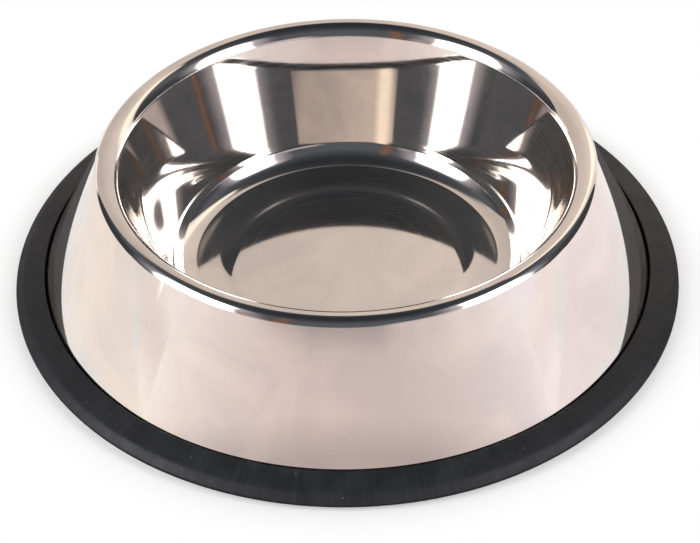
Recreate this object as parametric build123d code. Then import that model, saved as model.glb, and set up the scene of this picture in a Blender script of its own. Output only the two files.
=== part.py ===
from build123d import *

import os
from math import asin, atan2, cos, degrees, hypot, radians, sin, tan

# Driving dimensions of a non-tip stainless steel dog bowl, in millimetres and degrees.
# Tilts are measured from the vertical axis of the bowl.

# The whole bowl
base_diameter = 250.0
rim_diameter = 183.2
rim_height = 53.2
sheet = 0.6

# The drawn bowl: a floor, a leaning wall, and a flange rolled over into the rim bead
floor_clearance = 0.5
floor_fillet = 11.5
wall_tilt = 19.6
roll_radius = 7.0
roll_end_tilt = 60.0
bead_radius = 4.2

# The middle of the floor is stamped up into a shallow dome, with a soft step round it
stamp_inset = 8.0
stamp_bend = 21.0
stamp_tilt = 12.0
dome_radius = 780.0

# The skirt: a lip hooked inside the bead, a straight cone, and a foot flange.
# The cone would meet the top of the flange this far inside the edge of the ring.
hem_gap = 0.05
lip_end_tilt = 30.0
foot_inset = 9.44
foot_height = 2.6
foot_bend = 1.5

# The rubber ring: a sloping back, a soft shoulder, a bevel down to a blunt outer edge,
# and a groove that grips the foot flange
ring_height = 8.1
ring_width = 16.5
sole_inset = 3.0
shoulder_inset = 2.7
shoulder_height = 5.7
shoulder_round = 3.5
ring_edge_height = 2.8
ring_edge_face = 1.2
ring_cover = 4.5
grip_gap = 0.1
lip_gap = 0.5
sole_round = 0.6
edge_round_share = 0.7
lip_round_share = 0.8


def polar(centre, radius, angle):
    """The point at an angle on a circle in the section plane."""
    return (centre[0] + radius * cos(radians(angle)), centre[1] + radius * sin(radians(angle)))


def turned(section):
    """One solid of revolution from a section drawn with its radius along x and its height along y."""
    return revolve(Plane.XZ * section, Axis.Z)


def pressed_sheet(outline):
    """A sheet metal section: the outline is the polished side, with the sheet's thickness to its right."""
    return turned(make_face(offset(Wire(outline), amount=sheet, side=Side.RIGHT)))


# Centres, radii and heights that the pieces share
half_turn = 180.0
quarter_turn = 90.0
base_radius = base_diameter / 2
bead_centre = (rim_diameter / 2 - bead_radius, rim_height - bead_radius)
floor_top = floor_clearance + sheet
flange_top = foot_height + sheet
flange_radius = base_radius - ring_cover

# The polished side of the skirt's cone runs from the foot to a tangent on its lip, which sits inside the bead
lip_radius = bead_radius - sheet - hem_gap
foot_radius = base_radius - foot_inset
foot_run = foot_radius - bead_centre[0]
foot_drop = bead_centre[1] - flange_top
skirt_tilt = degrees(atan2(foot_run, foot_drop) - asin(lip_radius / hypot(foot_run, foot_drop)))


def cone_radius(height, gap=0.0):
    """Radius of the cone's polished side at a height, or of a surface that stands off it by a gap."""
    return foot_radius + (flange_top - height) * tan(radians(skirt_tilt)) + gap / cos(radians(skirt_tilt))


def inner_bowl():
    """The drawn bowl, from the middle of its floor to the cut edge of its rolled flange."""
    wall_angle = half_turn - wall_tilt
    roll_end_angle = half_turn - roll_end_tilt
    roll_centre = polar(bead_centre, bead_radius - roll_radius, roll_end_angle)
    wall_top = polar(roll_centre, roll_radius, wall_angle)

    # The floor fillet touches the floor and the wall
    fillet_height = floor_top + floor_fillet
    wall_offset = polar(wall_top, floor_fillet, wall_angle)
    fillet_centre = (wall_offset[0] - (wall_offset[1] - fillet_height) * tan(radians(wall_tilt)), fillet_height)

    # The stamped step is two equal bends, and the dome meets the upper one at a tangent
    root_centre = (fillet_centre[0] - stamp_inset, floor_top + stamp_bend)
    brow_centre = polar(root_centre, 2 * stamp_bend, -quarter_turn - stamp_tilt)
    dome_reach = dome_radius - stamp_bend
    dome_tilt = degrees(asin(brow_centre[0] / dome_reach))
    dome_centre = (0, brow_centre[1] - dome_reach * cos(radians(dome_tilt)))

    dome = CenterArc(dome_centre, dome_radius, quarter_turn, -dome_tilt)
    brow = CenterArc(brow_centre, stamp_bend, quarter_turn - dome_tilt, dome_tilt - stamp_tilt)
    root = CenterArc(root_centre, stamp_bend, -quarter_turn - stamp_tilt, stamp_tilt)
    floor = Line(root @ 1, (fillet_centre[0], floor_top))
    fillet_arc = CenterArc(fillet_centre, floor_fillet, -quarter_turn, quarter_turn - wall_tilt)
    wall = Line(fillet_arc @ 1, wall_top)
    roll = CenterArc(roll_centre, roll_radius, wall_angle, roll_end_angle - wall_angle)
    bead = CenterArc(bead_centre, bead_radius, roll_end_angle, skirt_tilt - roll_end_angle)
    return pressed_sheet([dome, brow, root, floor, fillet_arc, wall, roll, bead])


def outer_skirt():
    """The skirt, from its hooked lip under the bead to the cut edge of its foot flange."""
    lip_end_angle = half_turn - lip_end_tilt
    bend_height = flange_top + foot_bend
    bend_centre = (cone_radius(bend_height, foot_bend), bend_height)

    lip = CenterArc(bead_centre, lip_radius, lip_end_angle, skirt_tilt - lip_end_angle)
    bend = CenterArc(bend_centre, foot_bend, half_turn + skirt_tilt, quarter_turn - skirt_tilt)
    cone = Line(lip @ 1, bend @ 0)
    flange = Line(bend @ 1, (flange_radius, flange_top))
    return pressed_sheet([lip, cone, bend, flange])


def rubber_ring():
    """The grip ring: a sole under the foot flange, a sloping back over it, and the groove between."""
    inner_radius = base_radius - ring_width
    groove_radius = flange_radius + grip_gap
    groove_low = foot_height - grip_gap
    groove_high = flange_top + grip_gap
    edge_round = ring_edge_face * edge_round_share
    lip_round = lip_gap * lip_round_share

    corners = [
        ((inner_radius, 0), sole_round),
        ((base_radius - sole_inset, 0), sole_round),
        ((base_radius, ring_edge_height - ring_edge_face / 2), edge_round),
        ((base_radius, ring_edge_height + ring_edge_face / 2), edge_round),
        ((base_radius - shoulder_inset, shoulder_height), shoulder_round),
        ((cone_radius(ring_height, lip_gap), ring_height), lip_round),
        ((cone_radius(groove_high, lip_gap), groove_high), foot_bend),
        ((groove_radius, groove_high), 0),
        ((groove_radius, groove_low), 0),
        ((inner_radius, groove_low), sole_round),
    ]
    points = [point for point, corner_radius in corners]
    radii = [corner_radius for point, corner_radius in corners]
    return turned(make_face(FilletPolyline(*points, radius=radii, close=True)))


os.makedirs("parts", exist_ok=True)
for piece in (inner_bowl, outer_skirt, rubber_ring):
    export_step(piece(), f"parts/{piece.__name__}.step")
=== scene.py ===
# %% [markdown]
# # A mirror-polished dog bowl on a rubber ring
#
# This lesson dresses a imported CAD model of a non-tip dog bowl: a drawn steel bowl, a conical steel
# skirt and a black rubber ring. Nearly all that the eye gets from polished steel is a picture of the
# room, so half of the work is the shape, drawn finely enough to mirror cleanly, and half is the studio.

from math import asin, atan2, cos, degrees, dist, hypot, pi, radians, sin, tan

import bpy
from mathutils import Euler, Matrix, Vector


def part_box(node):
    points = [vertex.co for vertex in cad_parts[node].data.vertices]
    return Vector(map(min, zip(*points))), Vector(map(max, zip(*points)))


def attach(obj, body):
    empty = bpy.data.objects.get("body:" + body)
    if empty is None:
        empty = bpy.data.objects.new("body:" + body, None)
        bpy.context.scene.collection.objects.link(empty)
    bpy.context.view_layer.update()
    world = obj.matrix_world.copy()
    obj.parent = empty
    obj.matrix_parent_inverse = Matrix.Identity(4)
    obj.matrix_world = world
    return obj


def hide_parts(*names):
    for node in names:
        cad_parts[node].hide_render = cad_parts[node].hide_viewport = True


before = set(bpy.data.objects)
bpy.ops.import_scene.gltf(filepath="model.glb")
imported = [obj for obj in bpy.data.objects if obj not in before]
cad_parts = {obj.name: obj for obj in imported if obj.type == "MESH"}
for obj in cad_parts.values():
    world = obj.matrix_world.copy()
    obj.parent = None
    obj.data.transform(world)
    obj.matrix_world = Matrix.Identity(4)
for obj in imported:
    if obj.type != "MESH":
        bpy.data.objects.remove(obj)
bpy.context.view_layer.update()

# %% [markdown]
# ## The sizes of the bowl
#
# The pieces are drawn again here, because a mirror shows every facet of a CAD mesh. They keep the CAD
# sizes, so these are the same driving dimensions, in millimetres and degrees from the vertical axis.

# %% Driving dimensions
BASE_DIAMETER = 250.0
RIM_DIAMETER = 183.2
RIM_HEIGHT = 53.2
SHEET = 0.6

# The drawn bowl
FLOOR_TOP = 1.1
FLOOR_FILLET = 11.5
STAMP_INSET = 8.0
STAMP_BEND = 21.0
STAMP_TILT = 12.0
DOME_RADIUS = 780.0
WALL_TILT = 19.6
ROLL_RADIUS = 7.0
ROLL_END_TILT = 60.0
BEAD_RADIUS = 4.2

# The skirt
HEM_GAP = 0.05
LIP_END_TILT = 30.0
FOOT_INSET = 9.44
FLANGE_TOP = 3.2
FOOT_BEND = 1.5

# The rubber ring
RING_HEIGHT = 8.1
RING_WIDTH = 16.5
SOLE_INSET = 3.0
SHOULDER_INSET = 2.7
SHOULDER_HEIGHT = 5.7
RING_EDGE_LOW = 2.2
RING_EDGE_HIGH = 3.4
RING_COVER = 4.5
GRIP_GAP = 0.1
LIP_GAP = 0.5

# Turns in degrees, and a millimetre in metres
HALF_TURN = 180.0
QUARTER_TURN = 90.0
MM = 0.001


def polar(centre, radius, angle):
    """The point at an angle on a circle in the section plane."""
    return (centre[0] + radius * cos(radians(angle)), centre[1] + radius * sin(radians(angle)))


base_radius = BASE_DIAMETER / 2
bead_centre = (RIM_DIAMETER / 2 - BEAD_RADIUS, RIM_HEIGHT - BEAD_RADIUS)
lip_radius = BEAD_RADIUS - SHEET - HEM_GAP
foot_radius = base_radius - FOOT_INSET
foot_run = foot_radius - bead_centre[0]
foot_drop = bead_centre[1] - FLANGE_TOP
skirt_tilt = degrees(atan2(foot_run, foot_drop) - asin(lip_radius / hypot(foot_run, foot_drop)))


def cone_radius(height, gap=0.0):
    """Radius of the skirt's polished side at a height, or of a surface that stands off it by a gap."""
    return foot_radius + (FLANGE_TOP - height) * tan(radians(skirt_tilt)) + gap / cos(radians(skirt_tilt))


print("skirt tilt in degrees:", round(skirt_tilt, 2))

# %% [markdown]
# ## Drawing a section and spinning it
#
# A real bowl of this kind is pressed and then finished while it turns on a lathe, so each piece is a
# section turned about the upright axis. The section is drawn as by hand: one vertex is extruded along
# the straight runs and spun about the centre of each bend. Then the whole line is spun once round.
# Each straight run has a short step at both ends. Without them, the smooth shading of a bend would
# leak into the flat next to it, and a flat mirror would look dished.

# %% Section tools
SPIN_STEPS = 360
BEND_STEP = 3.0
LEAST_BEND_STEPS = 12
GUARD = 0.4
WELD = 0.0005
SMOOTH_LIMIT = 35.0


def start_section(name, point):
    """A new piece that is one vertex, in edit mode, at the first point of its section."""
    bpy.ops.object.select_all(action="DESELECT")
    bpy.ops.mesh.primitive_plane_add(size=MM)
    piece = bpy.context.object
    piece.name = name
    piece.data.name = name
    bpy.ops.object.mode_set(mode="EDIT")
    bpy.ops.mesh.select_all(action="SELECT")
    bpy.ops.mesh.merge(type="CENTER")
    bpy.ops.transform.translate(value=(point[0] * MM, 0, point[1] * MM))
    return piece


def step(start, end, share):
    """Extrudes the last vertex along a share of the way from one point to another."""
    move = ((end[0] - start[0]) * share * MM, 0, (end[1] - start[1]) * share * MM)
    bpy.ops.mesh.extrude_vertices_move(TRANSFORM_OT_translate={"value": move})


def run(start, end):
    """A straight run, with a guard step at both ends."""
    guard_share = GUARD / dist(start, end)
    step(start, end, guard_share)
    step(start, end, 1 - 2 * guard_share)
    step(start, end, guard_share)


def bend(centre, turn):
    """An arc: the last vertex is spun about a centre, anticlockwise for a positive turn."""
    steps = max(LEAST_BEND_STEPS, round(abs(turn) / BEND_STEP))
    place = (centre[0] * MM, 0, centre[1] * MM)
    bpy.ops.mesh.spin(steps=steps, angle=radians(turn), center=place, axis=(0, 1, 0))


def turn_section():
    """Spins the whole section once round the upright axis and welds the seam and the pole."""
    bpy.ops.mesh.select_all(action="SELECT")
    bpy.ops.mesh.spin(steps=SPIN_STEPS, angle=2 * pi, center=(0, 0, 0), axis=(0, 0, 1))
    bpy.ops.mesh.select_all(action="SELECT")
    bpy.ops.mesh.remove_doubles(threshold=WELD * MM)
    bpy.ops.mesh.normals_make_consistent(inside=False)
    bpy.ops.object.mode_set(mode="OBJECT")


def face_polished_side(piece, wanted):
    """Turns the faces round if the largest of them doesn't look the wanted way."""
    largest = max(piece.data.polygons, key=lambda face: face.area)
    outward = Vector((largest.center.x, largest.center.y, 0)).normalized()
    side = {"up": Vector((0, 0, 1)), "out": outward}[wanted]
    if largest.normal.dot(side) < 0:
        bpy.ops.object.mode_set(mode="EDIT")
        bpy.ops.mesh.select_all(action="SELECT")
        bpy.ops.mesh.flip_normals()
        bpy.ops.object.mode_set(mode="OBJECT")


def give_sheet_thickness(piece):
    """Makes a polished skin a sheet, thickened away from its polished side."""
    thicken = piece.modifiers.new("sheet", "SOLIDIFY")
    thicken.thickness = SHEET * MM
    thicken.offset = -1
    thicken.use_even_offset = True
    bpy.ops.object.modifier_apply(modifier=thicken.name)


def in_mm(lengths):
    """Lengths in metres as rounded millimetres, for printing."""
    return [round(length / MM, 2) for length in lengths]


def finish_piece(piece, node):
    """Smooth shading with crisp cut edges, and the CAD node that the piece stands for."""
    bpy.ops.object.shade_smooth_by_angle(angle=radians(SMOOTH_LIMIT))
    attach(piece, "root")
    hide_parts(node)
    low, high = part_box(node)
    size = [max(places) - min(places) for places in zip(*piece.bound_box)]
    print(piece.name, "faces:", len(piece.data.polygons))
    print("  size in mm:", in_mm(size), "CAD:", in_mm(high - low))


# %% [markdown]
# ## The drawn bowl
#
# The bowl is one sheet: a floor, a fillet, a leaning wall, and a flange that is rolled outward and
# down into the round bead of the rim. The middle of the floor is stamped up into a shallow dome with a
# soft step round it, which keeps a thin floor from buckling. Each bend meets its neighbours at a
# tangent, which is what makes the reflections run on without a break.

# %% Draw the bowl's section and spin it
wall_angle = HALF_TURN - WALL_TILT
roll_end_angle = HALF_TURN - ROLL_END_TILT
roll_centre = polar(bead_centre, BEAD_RADIUS - ROLL_RADIUS, roll_end_angle)
wall_top = polar(roll_centre, ROLL_RADIUS, wall_angle)
fillet_height = FLOOR_TOP + FLOOR_FILLET
wall_offset = polar(wall_top, FLOOR_FILLET, wall_angle)
fillet_reach = wall_offset[0] - (wall_offset[1] - fillet_height) * tan(radians(WALL_TILT))
fillet_centre = (fillet_reach, fillet_height)
wall_foot = polar(fillet_centre, FLOOR_FILLET, -WALL_TILT)

# The stamped step is two equal bends, and the dome meets the upper one on its tangent
root_centre = (fillet_reach - STAMP_INSET, FLOOR_TOP + STAMP_BEND)
brow_centre = polar(root_centre, 2 * STAMP_BEND, -QUARTER_TURN - STAMP_TILT)
dome_reach = DOME_RADIUS - STAMP_BEND
dome_tilt = degrees(asin(brow_centre[0] / dome_reach))
dome_centre = (0, brow_centre[1] - dome_reach * cos(radians(dome_tilt)))

bowl = start_section("steel_bowl", (0, dome_centre[1] + DOME_RADIUS))
bend(dome_centre, -dome_tilt)
bend(brow_centre, dome_tilt - STAMP_TILT)
bend(root_centre, STAMP_TILT)
run((root_centre[0], FLOOR_TOP), (fillet_reach, FLOOR_TOP))
bend(fillet_centre, QUARTER_TURN - WALL_TILT)
run(wall_foot, wall_top)
bend(roll_centre, roll_end_angle - wall_angle)
bend(bead_centre, skirt_tilt - roll_end_angle)
turn_section()
face_polished_side(bowl, "up")
give_sheet_thickness(bowl)
finish_piece(bowl, "inner_bowl")

# %% [markdown]
# ## The skirt
#
# The skirt is a second sheet. Its lip is hooked inside the bead, which closes over it, and its foot is
# turned outward into a flange that the rubber ring grips. Only the cone between them is seen.

# %% Draw the skirt's section and spin it
lip_end_angle = HALF_TURN - LIP_END_TILT
bend_height = FLANGE_TOP + FOOT_BEND
bend_centre = (cone_radius(bend_height, FOOT_BEND), bend_height)
cone_top = polar(bead_centre, lip_radius, skirt_tilt)
cone_foot = polar(bend_centre, FOOT_BEND, HALF_TURN + skirt_tilt)

skirt = start_section("steel_skirt", polar(bead_centre, lip_radius, lip_end_angle))
bend(bead_centre, skirt_tilt - lip_end_angle)
run(cone_top, cone_foot)
bend(bend_centre, QUARTER_TURN - skirt_tilt)
run((bend_centre[0], FLANGE_TOP), (base_radius - RING_COVER, FLANGE_TOP))
turn_section()
face_polished_side(skirt, "out")
give_sheet_thickness(skirt)
finish_piece(skirt, "outer_skirt")

# %% [markdown]
# ## The rubber ring
#
# The ring is moulded in one go: a flat sole, a blunt outer edge, a bevel up to a soft shoulder, a
# sloping back that ends in a thin lip against the skirt, and a groove that grips the flange. Its
# corners are drawn sharp first, and then each corner vertex is bevelled to its own radius before the
# section is spun.

# %% Draw the ring's section, round its corners and spin it
SOLE_ROUND = 0.6
EDGE_ROUND = 0.84
SHOULDER_ROUND = 3.5
LIP_ROUND = 0.4
CORNER_STEPS = 8

groove_radius = base_radius - RING_COVER + GRIP_GAP
groove_low = FLANGE_TOP - SHEET - GRIP_GAP
groove_high = FLANGE_TOP + GRIP_GAP
inner_radius = base_radius - RING_WIDTH

ring_corners = [
    ((inner_radius, 0), SOLE_ROUND),
    ((base_radius - SOLE_INSET, 0), SOLE_ROUND),
    ((base_radius, RING_EDGE_LOW), EDGE_ROUND),
    ((base_radius, RING_EDGE_HIGH), EDGE_ROUND),
    ((base_radius - SHOULDER_INSET, SHOULDER_HEIGHT), SHOULDER_ROUND),
    ((cone_radius(RING_HEIGHT, LIP_GAP), RING_HEIGHT), LIP_ROUND),
    ((cone_radius(groove_high, LIP_GAP), groove_high), FOOT_BEND),
    ((groove_radius, groove_high), 0),
    ((groove_radius, groove_low), 0),
    ((inner_radius, groove_low), SOLE_ROUND),
]


def corner_cut(before, corner, after, radius):
    """How far from a corner an arc of that radius starts."""
    angle_in = atan2(before[1] - corner[1], before[0] - corner[0])
    angle_out = atan2(after[1] - corner[1], after[0] - corner[0])
    return radius / abs(tan((angle_in - angle_out) / 2))


ring_points = [corner for corner, corner_round in ring_corners]
ring = start_section("grip_ring", ring_points[0])
for start, end in zip(ring_points, ring_points[1:]):
    step(start, end, 1)
bpy.ops.mesh.select_all(action="SELECT")
bpy.ops.mesh.edge_face_add()
bpy.ops.mesh.delete(type="ONLY_FACE")

for index, (corner, corner_round) in enumerate(ring_corners):
    if corner_round == 0:
        continue
    before = ring_points[index - 1]
    after = ring_points[(index + 1) % len(ring_points)]
    bpy.ops.mesh.select_all(action="DESELECT")
    bpy.ops.object.mode_set(mode="OBJECT")
    for vertex in ring.data.vertices:
        place = (vertex.co.x / MM, vertex.co.z / MM)
        vertex.select = dist(place, corner) < WELD
    bpy.ops.object.mode_set(mode="EDIT")
    cut = corner_cut(before, corner, after, corner_round) * MM
    bpy.ops.mesh.bevel(offset=cut, segments=CORNER_STEPS, affect="VERTICES", clamp_overlap=False)
turn_section()
finish_piece(ring, "rubber_ring")

# %% [markdown]
# ## Tools for the finishes
#
# Every colour is written as a hex value, as a colour picker shows it, and turned into the linear
# light that the renderer works in. A picker's scale is a short straight toe and then a power curve.

# %% Colour tools
CHANNEL_STARTS = (1, 3, 5)
CHANNEL_DIGITS = 2
HEX_BASE = 16
CHANNEL_TOP = 255
TOE_END = 0.04045
TOE_SLOPE = 12.92
CURVE_LIFT = 0.055
CURVE_POWER = 2.4
OPAQUE = 1.0


def linear_channel(level):
    """One channel of a picker's colour, from 0 to 1, as linear light."""
    if level <= TOE_END:
        return level / TOE_SLOPE
    return ((level + CURVE_LIFT) / (1 + CURVE_LIFT)) ** CURVE_POWER


def linear(code):
    """A hex colour as linear red, green, blue and alpha."""
    digits = [code[start : start + CHANNEL_DIGITS] for start in CHANNEL_STARTS]
    return (*(linear_channel(int(pair, HEX_BASE) / CHANNEL_TOP) for pair in digits), OPAQUE)


# %% [markdown]
# One small function adds a node, sets it and wires it up. The others are the few kinds of node that
# the finishes use again and again. Each returns its output, ready to go into the next node.

# %% Node tools
# The places of the colour sockets on a mix node, which has a set of sockets for each kind of value
MIX_FIRST = 6
MIX_SECOND = 7
MIX_RESULT = 2

FULL_RANGE = (0.0, 1.0)
FULL_BUMP = 1.0
LEVEL_PLANE = (1, 1, 0)


def add_node(tree, kind, settings=None, inputs=None):
    """Adds a node with its settings. An input is a value, or the output of another node."""
    node = tree.nodes.new(kind)
    for name, value in (settings or {}).items():
        setattr(node, name, value)
    for socket, value in (inputs or {}).items():
        if isinstance(value, bpy.types.NodeSocket):
            tree.links.new(value, node.inputs[socket])
        else:
            node.inputs[socket].default_value = value
    return node


def object_place(tree):
    """The place on an object, in the object's own axes."""
    return add_node(tree, "ShaderNodeTexCoord").outputs["Object"]


def split_place(tree, place):
    """The coordinates X, Y and Z of a place."""
    return add_node(tree, "ShaderNodeSeparateXYZ", inputs={0: place}).outputs


def maths(tree, operation, *values):
    """The result of one sum."""
    return add_node(tree, "ShaderNodeMath", {"operation": operation}, dict(enumerate(values))).outputs[0]


def vector_maths(tree, operation, *vectors):
    """The results of one sum on vectors: a Vector or a Value."""
    return add_node(tree, "ShaderNodeVectorMath", {"operation": operation}, dict(enumerate(vectors))).outputs


def level_place(tree, place):
    """A place moved straight up or down to height zero, so that it points out from the upright axis."""
    return vector_maths(tree, "MULTIPLY", place, LEVEL_PLANE)["Vector"]


def ramp(tree, value, limits, levels=FULL_RANGE, curve="LINEAR"):
    """Goes from one level to another between two limits of a value, and stays level outside them."""
    inputs = {"Value": value, "From Min": limits[0], "From Max": limits[1]}
    inputs.update({"To Min": levels[0], "To Max": levels[1]})
    return add_node(tree, "ShaderNodeMapRange", {"interpolation_type": curve}, inputs).outputs["Result"]


def noise(tree, place, scale, detail, twist=0.0):
    """Cloudy noise with a number of features in each unit of place."""
    inputs = {"Vector": place, "Scale": scale, "Detail": detail, "Distortion": twist}
    return add_node(tree, "ShaderNodeTexNoise", inputs=inputs).outputs["Fac"]


def specks(tree, place, spacing, radius):
    """A mask of small round specks, with their spacing and radius in millimetres."""
    inputs = {"Vector": place, "Scale": 1 / (spacing * MM)}
    gap = add_node(tree, "ShaderNodeTexVoronoi", inputs=inputs).outputs["Distance"]
    return maths(tree, "LESS_THAN", gap, radius / spacing)


def bump(tree, depth, height):
    """The direction that a surface faces once a height pattern of some depth is pressed into it."""
    inputs = {"Strength": FULL_BUMP, "Distance": depth, "Height": height}
    return add_node(tree, "ShaderNodeBump", inputs=inputs).outputs["Normal"]


def mix_colours(tree, share, first, second):
    """The first colour, with a share of the second in its place."""
    inputs = {"Factor": share, MIX_FIRST: first, MIX_SECOND: second}
    return add_node(tree, "ShaderNodeMix", {"data_type": "RGBA"}, inputs).outputs[MIX_RESULT]


def mix_shaders(tree, share, first, second):
    """The first surface, with a share of the second in its place."""
    return add_node(tree, "ShaderNodeMixShader", inputs={0: share, 1: first, 2: second}).outputs[0]


def new_material(name):
    """A material with an empty node tree and its output node."""
    material = bpy.data.materials.new(name)
    material.use_nodes = True
    material.node_tree.nodes.clear()
    return material, material.node_tree, material.node_tree.nodes.new("ShaderNodeOutputMaterial")


def dress(piece, material):
    """Gives a piece its material."""
    piece.data.materials.clear()
    piece.data.materials.append(material)


# %% [markdown]
# ## Polished stainless steel
#
# Stainless steel, deep drawn, then buffed on a turning spindle. To the eye it is a slightly warm
# mirror with crisp reflections. They sway a little, and more inside the drawn bowl, where the sheet was
# pulled thin. Thin clouds of haze and a few fine pits show that the bowl has been used.

# %% Steel: colour
STEEL_BRIGHT = "#EBE5DE"
STEEL_DULL = "#DED9D6"
PIT = "#B4AEA7"
HAZE_SIZE = 38.0
HAZE_DETAIL = 4.5
HAZE_TWIST = 1.2
HAZE_SHARES = (0.36, 0.64)
PIT_SPACING = 9.0
PIT_RADIUS = 0.22

steel, tree, output = new_material("stainless_steel_drawn_and_buffed")
place = object_place(tree)
haze = noise(tree, place, 1 / (HAZE_SIZE * MM), HAZE_DETAIL, HAZE_TWIST)
haze_mask = ramp(tree, haze, HAZE_SHARES)
clouds = mix_colours(tree, haze_mask, linear(STEEL_BRIGHT), linear(STEEL_DULL))
pits = specks(tree, place, PIT_SPACING, PIT_RADIUS)
tint = mix_colours(tree, pits, clouds, linear(PIT))
print("steel: haze of", HAZE_SIZE, "mm, pits of", 2 * PIT_RADIUS, "mm")

# %% [markdown]
# Hair-fine buffing lines run round the axis and soften the shine a little in places. Their noise is
# drawn over radius and height, and changes only slowly across the bowl. Low down, near the floor of the
# bowl and the foot of the skirt, the steel is worn duller.

# %% Steel: shine
BUFF_LINE = 0.9
BUFF_ARC = 60.0
BUFF_DETAIL = 2.0
BUFF_SHARES = (0.35, 0.75)
MIRROR_ROUGHNESS = 0.02
BUFFED_ROUGHNESS = 0.055
WORN_ROUGHNESS = 0.03
WEAR_FLOOR = 3.0
WEAR_TOP = 14.0

axes = split_place(tree, place)
radius_out = vector_maths(tree, "LENGTH", level_place(tree, place))["Value"]
drift = maths(tree, "MULTIPLY", axes["X"], BUFF_LINE / BUFF_ARC)
lathe_axes = {"X": radius_out, "Y": axes["Z"], "Z": drift}
lathe_place = add_node(tree, "ShaderNodeCombineXYZ", inputs=lathe_axes).outputs[0]
buff = noise(tree, lathe_place, 1 / (BUFF_LINE * MM), BUFF_DETAIL)
shine = ramp(tree, buff, BUFF_SHARES, (MIRROR_ROUGHNESS, BUFFED_ROUGHNESS))
wear = ramp(tree, axes["Z"], (WEAR_TOP * MM, WEAR_FLOOR * MM), (0, WORN_ROUGHNESS))
steel_roughness = maths(tree, "ADD", shine, wear)
print("steel: buffing lines of", BUFF_LINE, "mm, worn below", WEAR_TOP, "mm")

# %% [markdown]
# The sway is a slow wave in the sheet, a few hundredths of a millimetre deep. Over the mirror lies a
# thin share of a duller coat, the fine scuffs, which puts a faint glow round bright reflections.

# %% Steel: sway and scuffs
SWAY_SIZE = 34.0
SWAY_DETAIL = 0.0
SWAY_DEPTH = 0.03
DRAWN_SWAY_DEPTH = 0.055
DRAWN_RADIUS = 80.0
SPUN_RADIUS = 92.0
SCUFF_ROUGHNESS = 0.3
SCUFF_LIMITS = (0.35, 0.7)
SCUFF_SHARES = (0.006, 0.035)
ALL_METAL = 1.0

sway = noise(tree, place, 1 / (SWAY_SIZE * MM), SWAY_DETAIL)
sway_radii = (DRAWN_RADIUS * MM, SPUN_RADIUS * MM)
sway_depth = ramp(tree, radius_out, sway_radii, (DRAWN_SWAY_DEPTH * MM, SWAY_DEPTH * MM))
metal = {"Base Color": tint, "Metallic": ALL_METAL, "Normal": bump(tree, sway_depth, sway)}
mirror = add_node(tree, "ShaderNodeBsdfPrincipled", inputs={"Roughness": steel_roughness, **metal})
scuffs = add_node(tree, "ShaderNodeBsdfPrincipled", inputs={"Roughness": SCUFF_ROUGHNESS, **metal})
scuff_share = ramp(tree, buff, SCUFF_LIMITS, SCUFF_SHARES)
steel_surface = mix_shaders(tree, scuff_share, mirror.outputs[0], scuffs.outputs[0])
tree.links.new(steel_surface, output.inputs["Surface"])
dress(bowl, steel)
dress(skirt, steel)
print("material:", steel.name, "nodes:", len(tree.nodes))

# %% [markdown]
# ## Moulded black rubber
#
# Carbon-black rubber, moulded in a plain steel tool. It is dull and nearly black, with a soft grey
# sheen where its shoulder turns to the light. Fine lines across the ring are from the mould, and a
# little pale dust and a few specks of lint are from use.

# %% Rubber: colour
RUBBER_BLACK = "#131518"
RUBBER_DUSTY = "#222428"
LINT = "#5E5E60"
DUST_SIZE = 9.0
DUST_DETAIL = 6.0
DUST_SHARES = (0.4, 0.72)
LINE_SIZE = 1.3
LINE_DETAIL = 3.0
LINE_SHARES = (0.38, 0.62)
LINE_SHARE = 0.5
LINT_SPACING = 5.0
LINT_RADIUS = 0.25

rubber, tree, output = new_material("black_rubber_moulded")
place = object_place(tree)
dust = noise(tree, place, 1 / (DUST_SIZE * MM), DUST_DETAIL)
dust_mask = ramp(tree, dust, DUST_SHARES)

# The direction out from the axis is the same all along a line across the ring, and so is its noise
heading = vector_maths(tree, "NORMALIZE", level_place(tree, place))["Vector"]
lines = noise(tree, heading, base_radius / LINE_SIZE, LINE_DETAIL)
line_mask = ramp(tree, lines, LINE_SHARES)
masks = {"Factor": LINE_SHARE, "A": dust_mask, "B": line_mask}
pale_share = add_node(tree, "ShaderNodeMix", inputs=masks).outputs["Result"]
grey = mix_colours(tree, pale_share, linear(RUBBER_BLACK), linear(RUBBER_DUSTY))
lint = specks(tree, place, LINT_SPACING, LINT_RADIUS)
tint = mix_colours(tree, lint, grey, linear(LINT))
print("rubber: lines of", LINE_SIZE, "mm, lint of", 2 * LINT_RADIUS, "mm")

# %% [markdown]
# The mould leaves a fine grain, and the dust takes away what shine there is.

# %% Rubber: grain and shine
GRAIN_SIZE = 0.9
GRAIN_DETAIL = 4.0
GRAIN_DEPTH = 0.03
RUBBER_ROUGHNESS = 0.48
DUSTY_ROUGHNESS = 0.66
RUBBER_GLOSS = 0.38

grain = noise(tree, place, 1 / (GRAIN_SIZE * MM), GRAIN_DETAIL)
rubber_finish = {
    "Base Color": tint,
    "Roughness": ramp(tree, dust_mask, FULL_RANGE, (RUBBER_ROUGHNESS, DUSTY_ROUGHNESS)),
    "Specular IOR Level": RUBBER_GLOSS,
    "Normal": bump(tree, GRAIN_DEPTH * MM, grain),
}
rubber_surface = add_node(tree, "ShaderNodeBsdfPrincipled", inputs=rubber_finish)
tree.links.new(rubber_surface.outputs[0], output.inputs["Surface"])
dress(ring, rubber)
print("material:", rubber.name, "nodes:", len(tree.nodes))

# %% [markdown]
# ## The camera
#
# The circles of the ring, the skirt and the rim fix where the photograph was taken from: about
# two thirds of a metre away, 41 degrees above the table, with the camera tipped by less than a degree.

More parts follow.
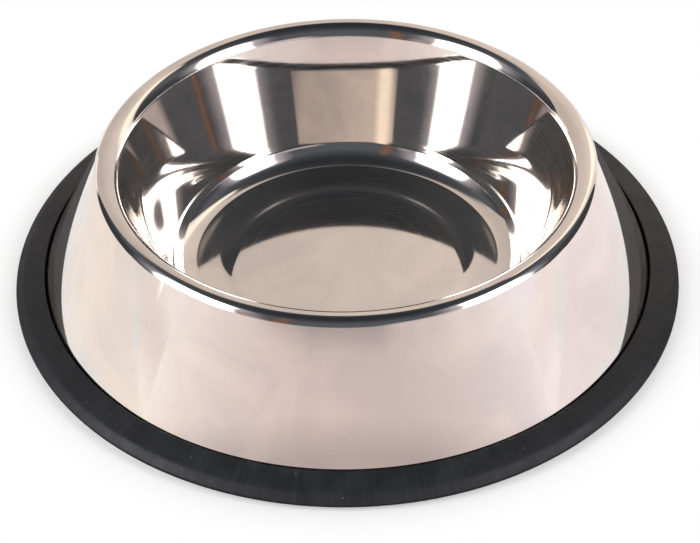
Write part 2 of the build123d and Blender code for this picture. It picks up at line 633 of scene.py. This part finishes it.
# %% Camera
AIM = (0.99, 0.0, -4.04)
CAMERA_DISTANCE = 666.5
CAMERA_RISE = 40.97
CAMERA_ROLL = -0.81
FOCAL_PIXELS = 1736.3
PHOTO_WIDTH = 700
SENSOR_WIDTH = 36.0

camera = bpy.data.objects.new("camera", bpy.data.cameras.new("camera"))
bpy.context.scene.collection.objects.link(camera)
bpy.context.scene.camera = camera
camera.data.sensor_width = SENSOR_WIDTH
camera.data.lens = FOCAL_PIXELS * SENSOR_WIDTH / PHOTO_WIDTH
rise = radians(CAMERA_RISE)
camera.location = (Vector(AIM) + CAMERA_DISTANCE * Vector((0, -cos(rise), sin(rise)))) * MM
tilt = Euler((radians(QUARTER_TURN - CAMERA_RISE), 0, 0)).to_matrix()
camera.rotation_euler = (tilt @ Matrix.Rotation(radians(CAMERA_ROLL), 3, "Z")).to_euler()
print("camera at", [round(x, 4) for x in camera.location], "lens", round(camera.data.lens, 2))

# %% [markdown]
# ## The studio
#
# The steel shows what stands around it, so the studio is built from plain glowing cards. Only the
# steel and the light see them, and the camera has a clean white ground from every side. A card is a
# square of side 1, scaled to its size, so places on it run from minus a half to a half.

# %% Card tools
CARD_HALF = 0.5
PLAIN_LEVEL = 1.0


def card_material(name, colour, level):
    """A plain card that glows evenly."""
    material, tree, output = new_material(name)
    glow = add_node(tree, "ShaderNodeEmission", inputs={"Color": linear(colour), "Strength": level})
    tree.links.new(glow.outputs[0], output.inputs["Surface"])
    return material


def fade_out(material, cover):
    """Makes a card clear where its cover falls to zero."""
    tree = material.node_tree
    clear = add_node(tree, "ShaderNodeBsdfTransparent").outputs[0]
    surface = mix_shaders(tree, cover, clear, tree.nodes["Emission"].outputs[0])
    tree.links.new(surface, tree.nodes["Material Output"].inputs["Surface"])


def soften(material, size, corner, edge, top_fade):
    """Gives a card round corners, a soft edge and a fading top, all in millimetres."""
    tree = material.node_tree
    place = object_place(tree)
    spread = vector_maths(tree, "ABSOLUTE", place)["Vector"]
    core = (corner - size[0] / 2, corner - size[1] / 2, 0)
    past_core = vector_maths(tree, "MULTIPLY_ADD", spread, (*size, 0), core)["Vector"]
    beyond = vector_maths(tree, "MAXIMUM", past_core, (0, 0, 0))["Vector"]
    reach = vector_maths(tree, "LENGTH", beyond)["Value"]
    inside = ramp(tree, reach, (corner, corner - edge), curve="SMOOTHSTEP")
    top_limits = (CARD_HALF, CARD_HALF - top_fade / size[1])
    below_top = ramp(tree, split_place(tree, place)["Y"], top_limits, curve="SMOOTHSTEP")
    fade_out(material, maths(tree, "MULTIPLY", inside, below_top))


def shade_across(material, width, ends, levels):
    """Makes a card's level change evenly between two places across its width, in millimetres."""
    tree = material.node_tree
    across = split_place(tree, object_place(tree))["X"]
    level = ramp(tree, across, (ends[0] / width, ends[1] / width), levels)
    tree.links.new(level, tree.nodes["Emission"].inputs["Strength"])


def set_on_stage(card, material):
    """Gives a card its material, hides it from the camera and lets it cast no shadow."""
    card.data.materials.append(material)
    card.visible_camera = False
    card.visible_shadow = False


def add_card(name, size, material):
    """A card of a size in millimetres, flat on the table at the middle."""
    bpy.ops.object.select_all(action="DESELECT")
    bpy.ops.mesh.primitive_plane_add(size=1)
    card = bpy.context.object
    card.name = name
    card.scale = (size[0] * MM, size[1] * MM, 1)
    set_on_stage(card, material)
    return card


def standing_card(name, azimuth, distance, size, lean, material):
    """An upright card on the table that faces the bowl. Azimuth 0 is the camera's side, 90 the left."""
    turn = radians(azimuth)
    card = add_card(name, size, material)
    card.rotation_euler = (radians(QUARTER_TURN), radians(lean), -turn)
    card.location = (-sin(turn) * distance * MM, -cos(turn) * distance * MM, size[1] / 2 * MM)


# %% [markdown]
# A bright soft box stands on each side, with a dimmer halo round it where its light spreads. A pale
# backdrop stands close behind the bowl, brighter towards one side, with a white strip before it on the
# right and a white patch on the left. A dim wall, low glows and a warm post stand far in front, and a
# low card stands on each side.

# %% Standing cards
SOFT_BOX_LEVEL = 6.0
BACKDROP_SIZE = (1310.0, 950.0)
BACKDROP_ENDS = (300.0, -230.0)
BACKDROP_LEVELS = (0.88, 1.13)

# Name, azimuth, distance, width and height, lean, colour, level, corner radius, soft edge and top fade
CARDS = [
    ("soft_box_right", -66.0, 1100.0, (720.0, 1580.0), 12.0, "#FFFFFF", SOFT_BOX_LEVEL, 300.0, 170.0, 90.0),
    ("soft_box_left", 68.2, 1100.0, (840.0, 1590.0), -13.0, "#FFFFFF", SOFT_BOX_LEVEL, 300.0, 170.0, 90.0),
    ("halo_right", -66.0, 1200.0, (1450.0, 2150.0), 12.0, "#DCD5DE", PLAIN_LEVEL, 640.0, 600.0, 90.0),
    ("halo_left", 69.0, 1200.0, (1700.0, 2150.0), -13.0, "#DCD5DE", 0.75, 640.0, 600.0, 90.0),
    ("low_glow_right", -34.0, 1250.0, (1150.0, 720.0), 0.0, "#DCCFD0", 0.95, 340.0, 330.0, 150.0),
    ("low_glow_left", 40.0, 1250.0, (500.0, 800.0), 0.0, "#DCCFD0", 0.5, 220.0, 200.0, 90.0),
    ("front_glow", 0.0, 1300.0, (1600.0, 400.0), 0.0, "#DAD3D6", 0.6, 200.0, 190.0, 60.0),
    ("front_wall", 0.0, 1500.0, (2100.0, 1500.0), 0.0, "#5B5F65", PLAIN_LEVEL, 500.0, 450.0, 300.0),
    ("backdrop", 180.0, 450.0, BACKDROP_SIZE, 0.0, "#DFD1C8", PLAIN_LEVEL, 30.0, 25.0, 300.0),
    ("white_strip", -136.5, 510.0, (213.0, 900.0), 0.0, "#FFF1E0", 1.45, 106.0, 90.0, 90.0),
    ("white_patch", 132.0, 620.0, (240.0, 190.0), 0.0, "#FFFCF6", 1.2, 60.0, 50.0, 50.0),
    ("low_card_right", -76.0, 650.0, (440.0, 75.0), 0.0, "#FFF4F3", 1.08, 40.0, 35.0, 15.0),
    ("low_card_left", 76.0, 650.0, (440.0, 75.0), 0.0, "#FFF2EC", PLAIN_LEVEL, 40.0, 35.0, 15.0),
    ("warm_post", 28.5, 1200.0, (240.0, 1900.0), -4.0, "#80604E", PLAIN_LEVEL, 120.0, 110.0, 90.0),
]
for name, azimuth, distance, size, lean, colour, level, corner, edge, top_fade in CARDS:
    paper = card_material(name, colour, level)
    soften(paper, size, corner, edge, top_fade)
    standing_card(name, azimuth, distance, size, lean, paper)
shade_across(bpy.data.materials["backdrop"], BACKDROP_SIZE[0], BACKDROP_ENDS, BACKDROP_LEVELS)
print("standing cards:", [card[0] for card in CARDS])

# %% [markdown]
# Two white sheets lie on the table beside the bowl, a little warmer on the left. Seen from the camera,
# the sides of the skirt mirror that part of the table.

# %% Sheets on the table
SHEET_CORNER = 160.0
SHEET_EDGE = 120.0
SHEET_LIFT = 0.5

# Name, middle, width and depth, colour and level
SHEETS = [
    ("side_sheet_left", (-460.0, 120.0), (700.0, 900.0), "#FFF4ED", 1.05),
    ("side_sheet_right", (460.0, 120.0), (700.0, 900.0), "#FFF3F5", 1.06),
]
for name, middle, size, colour, level in SHEETS:
    paper = card_material(name, colour, level)
    soften(paper, size, SHEET_CORNER, SHEET_EDGE, SHEET_EDGE)
    side_sheet = add_card(name, size, paper)
    side_sheet.location = (middle[0] * MM, middle[1] * MM, SHEET_LIFT * MM)
print("sheets on the table:", [row[0] for row in SHEETS])

# %% [markdown]
# A dark disc of painted shadow lies just over the table under the bowl and reaches a little past the
# ring. The camera doesn't see it, but the foot of the skirt mirrors it, so the skirt is dark next to the
# ring.

# %% Painted shadow disc
SHADE_DISC_RADIUS = 148.0
SHADE_DISC_MIDDLE = (4.0, 16.0)
# The disc's dark tone is painted shadow, seen only in the steel at the foot of the skirt
PAINTED_SHADOW_TONE = "#555353"
SHADE_DISC_LIFT = 0.8

bpy.ops.object.select_all(action="DESELECT")
bpy.ops.mesh.primitive_circle_add(vertices=SPIN_STEPS, radius=SHADE_DISC_RADIUS * MM, fill_type="NGON")
shade_disc = bpy.context.object
shade_disc.name = "painted_shadow_disc"
shade_disc.location = (SHADE_DISC_MIDDLE[0] * MM, SHADE_DISC_MIDDLE[1] * MM, SHADE_DISC_LIFT * MM)
shade_disc.visible_diffuse = False
set_on_stage(shade_disc, card_material("painted_shadow_disc", PAINTED_SHADOW_TONE, PLAIN_LEVEL))
print("mat radius:", SHADE_DISC_RADIUS, "mm, ring radius:", base_radius, "mm")

# %% [markdown]
# The skirt looks at a long low card in front of the bowl. The soft boxes light its ends, so it is
# darker in the middle, and most of all along its foot. Its top edge fades into the dark room and
# rises towards the ends.

# %% Low card in front
FRONT_DISTANCE = 280.0
FRONT_WIDTH = 4600.0
FRONT_HEIGHT = 200.0
FRONT_LEVEL = 1.15
FRONT_MIDDLE = "#DCCBC9"
FRONT_LEFT_END = "#FEF6F0"
FRONT_RIGHT_END = "#FBF4F8"
FRONT_DARK_REACH = 60.0
FRONT_BRIGHT_REACH = 600.0
FRONT_TOP = 115.0
FRONT_TOP_RISE = 80.0
FRONT_TOP_FADE = 45.0
FRONT_DIM_SHARE = 0.72
FRONT_DIM_LOW = 36.0
FRONT_DIM_HIGH = 56.0

front_paper = card_material("front_reflector", FRONT_MIDDLE, FRONT_LEVEL)
tree = front_paper.node_tree
glow = tree.nodes["Emission"]
axes = split_place(tree, object_place(tree))

# Colour: from the middle to the two ends
dark_reach = FRONT_DARK_REACH / FRONT_WIDTH
bright_reach = FRONT_BRIGHT_REACH / FRONT_WIDTH
lit = ramp(tree, maths(tree, "ABSOLUTE", axes["X"]), (dark_reach, bright_reach))
side = ramp(tree, axes["X"], (-bright_reach, bright_reach))
ends = mix_colours(tree, side, linear(FRONT_LEFT_END), linear(FRONT_RIGHT_END))
tree.links.new(mix_colours(tree, lit, linear(FRONT_MIDDLE), ends), glow.inputs["Color"])

# Level: dim along the foot of the middle
dim_low = FRONT_DIM_LOW / FRONT_HEIGHT
dim_high = FRONT_DIM_HIGH / FRONT_HEIGHT
dim_levels = (FRONT_DIM_SHARE * FRONT_LEVEL, FRONT_LEVEL)
lit_height = maths(tree, "MULTIPLY_ADD", lit, dim_high, axes["Y"])
level = ramp(tree, lit_height, (dim_low - CARD_HALF, dim_high - CARD_HALF), dim_levels)
tree.links.new(level, glow.inputs["Strength"])

# Top edge: soft, and higher towards the ends
top = FRONT_TOP / FRONT_HEIGHT - CARD_HALF
top_limits = (top, top - FRONT_TOP_FADE / FRONT_HEIGHT)
sunk_height = maths(tree, "MULTIPLY_ADD", lit, -FRONT_TOP_RISE / FRONT_HEIGHT, axes["Y"])
fade_out(front_paper, ramp(tree, sunk_height, top_limits, curve="SMOOTHSTEP"))
standing_card("front_reflector", 0, FRONT_DISTANCE, (FRONT_WIDTH, FRONT_HEIGHT), 0, front_paper)
print("low card in front:", FRONT_TOP, "mm high in the middle,", FRONT_TOP + FRONT_TOP_RISE, "mm at its ends")

# %% [markdown]
# The room is dark overhead and near the floor. Between them, its walls catch light from the soft boxes.

# %% Dark room
ROOM_RADIUS = 2500.0
ROOM_SEGMENTS = 64
ROOM_RINGS = 32
ROOM_FOOT_TONE = "#3D3F45"
ROOM_WALL_TONE = "#5B5F65"
CEILING_TONE = "#313439"
ROOM_FOOT_TOP = 1050.0
ROOM_WALL_START = 1500.0
ROOM_WALL_TOP = 1750.0
CEILING_START = 2460.0

bpy.ops.object.select_all(action="DESELECT")
bpy.ops.mesh.primitive_uv_sphere_add(segments=ROOM_SEGMENTS, ring_count=ROOM_RINGS, radius=ROOM_RADIUS * MM)
room = bpy.context.object
room.name = "dark_room"
room_paint = card_material("dark_room", ROOM_WALL_TONE, PLAIN_LEVEL)
tree = room_paint.node_tree
height = split_place(tree, object_place(tree))["Z"]
above_foot = ramp(tree, height, (ROOM_FOOT_TOP * MM, ROOM_WALL_START * MM))
walls = mix_colours(tree, above_foot, linear(ROOM_FOOT_TONE), linear(ROOM_WALL_TONE))
overhead = ramp(tree, height, (ROOM_WALL_TOP * MM, CEILING_START * MM))
gloom = mix_colours(tree, overhead, walls, linear(CEILING_TONE))
tree.links.new(gloom, tree.nodes["Emission"].inputs["Color"])
set_on_stage(room, room_paint)
print("room: walls lightest from", ROOM_WALL_START, "to", ROOM_WALL_TOP, "mm up")

# %% [markdown]
# The table is white paint close to the ring, where it keeps the soft shadow of contact. Further out,
# whatever the eye sees of it, straight or in the steel, is the plain white of the ground.

# %% Table
FLOOR_SIZE = 4000.0
FLOOR_TONE = "#F6F6F6"
GROUND_WHITE = "#FFFFFF"
SHADOW_NEAR = 112.0
SHADOW_FAR = 140.0

table_material, tree, output = new_material("white_table")
paint = add_node(tree, "ShaderNodeBsdfDiffuse", inputs={"Color": linear(FLOOR_TONE)})
white_light = {"Color": linear(GROUND_WHITE), "Strength": PLAIN_LEVEL}
plain_white = add_node(tree, "ShaderNodeEmission", inputs=white_light)
away = vector_maths(tree, "LENGTH", object_place(tree))["Value"]
far = ramp(tree, away, (SHADOW_NEAR * MM, SHADOW_FAR * MM), curve="SMOOTHSTEP")
path = add_node(tree, "ShaderNodeLightPath").outputs
seen = maths(tree, "ADD", path["Is Camera Ray"], path["Is Glossy Ray"])
seen = maths(tree, "ADD", seen, path["Is Transmission Ray"])
clamped_product = {"operation": "MULTIPLY", "use_clamp": True}
white_share = add_node(tree, "ShaderNodeMath", clamped_product, {0: far, 1: seen}).outputs[0]
table_surface = mix_shaders(tree, white_share, paint.outputs[0], plain_white.outputs[0])
tree.links.new(table_surface, output.inputs["Surface"])

bpy.ops.object.select_all(action="DESELECT")
bpy.ops.mesh.primitive_plane_add(size=FLOOR_SIZE * MM)
table = bpy.context.object
table.name = "table"
table.data.materials.append(table_material)
print("table: contact shadow fades out by", SHADOW_FAR - base_radius, "mm past the ring")

# %% [markdown]
# The background is the same white. Light goes back and forth many times between the walls of a mirror
# bowl, so its reflections are followed for many bounces.

# %% Background and bounces
MIRROR_BOUNCES = 12

world = bpy.data.worlds.new("white_ground")
bpy.context.scene.world = world
world.use_nodes = True
tree = world.node_tree
tree.nodes.clear()
background = add_node(tree, "ShaderNodeBackground", inputs=white_light)
add_node(tree, "ShaderNodeOutputWorld", inputs={"Surface": background.outputs[0]})
bpy.context.scene.view_settings.view_transform = "Standard"
bpy.context.scene.cycles.max_bounces = MIRROR_BOUNCES
bpy.context.scene.cycles.glossy_bounces = MIRROR_BOUNCES
print("bounces:", bpy.context.scene.cycles.glossy_bounces)
